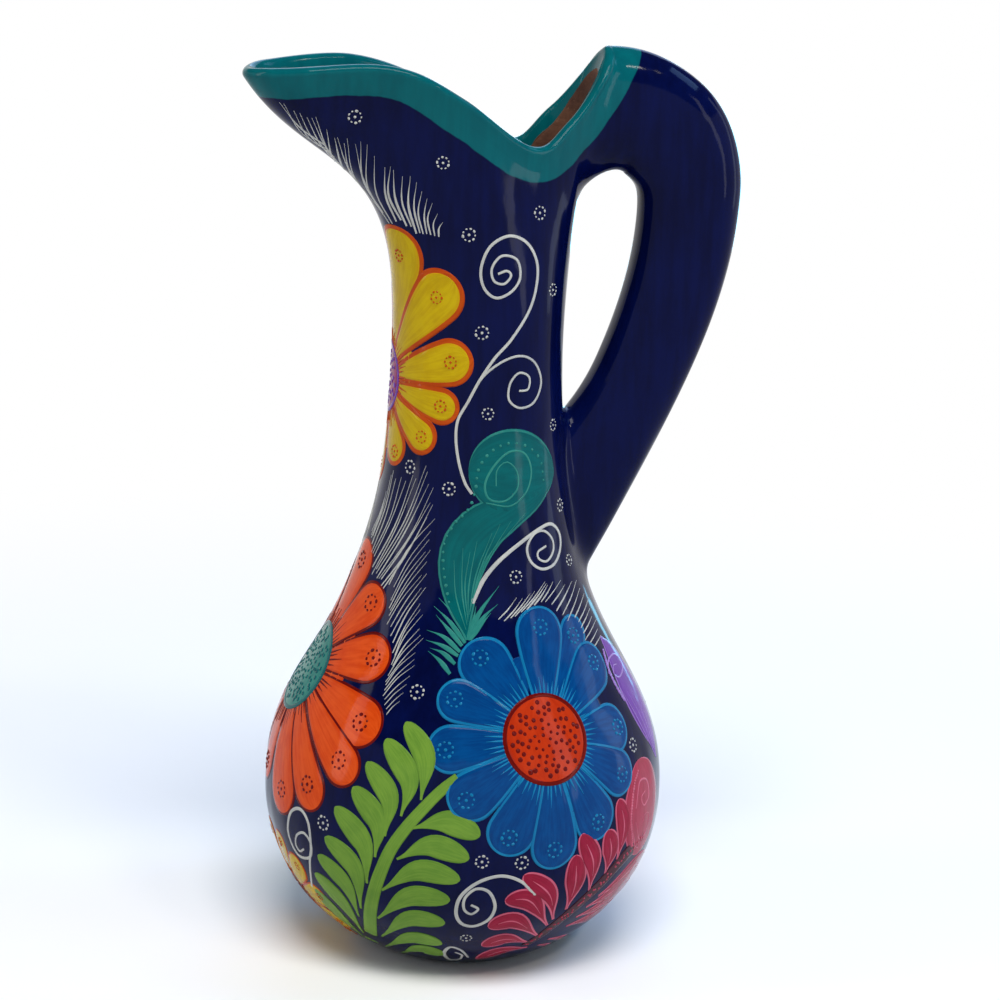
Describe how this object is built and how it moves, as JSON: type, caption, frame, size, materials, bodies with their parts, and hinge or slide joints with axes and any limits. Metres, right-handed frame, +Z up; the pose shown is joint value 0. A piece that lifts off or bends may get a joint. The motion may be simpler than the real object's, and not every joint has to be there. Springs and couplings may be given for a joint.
{
  "type": "terracotta jug",
  "caption": "Hand-built terracotta jug with a round belly, a slender neck, a pulled spout, a rounded lip and a deep looped handle, glazed in cobalt with painted flowers.",
  "frame": {"origin": "centre of the flat foot, on the surface that the jug stands on", "axes": "+Z up along the axis of the belly and the neck, -X towards the spout, +X towards the handle"},
  "size_m": [0.2071, 0.167, 0.378],
  "materials": {
    "cobalt_glaze": "glossy",
    "turquoise_glaze": "glossy",
    "bare_terracotta": "matte",
    "white_paint": "glossy",
    "yellow_paint": "glossy",
    "orange_paint": "glossy",
    "red_paint": "glossy",
    "blue_paint": "glossy",
    "teal_paint": "glossy",
    "green_paint": "glossy",
    "pink_paint": "glossy",
    "purple_paint": "glossy"
  },
  "bodies": {
    "root": {"foot_disc": "bare_terracotta", "lower_belly": "cobalt_glaze", "upper_belly": "cobalt_glaze", "neck": "cobalt_glaze", "spout_collar": "cobalt_glaze", "lip_coil": "turquoise_glaze", "handle": "cobalt_glaze", "handle_top_lute": "cobalt_glaze", "handle_foot_lute": "cobalt_glaze"}
  },
  "joints": []
}
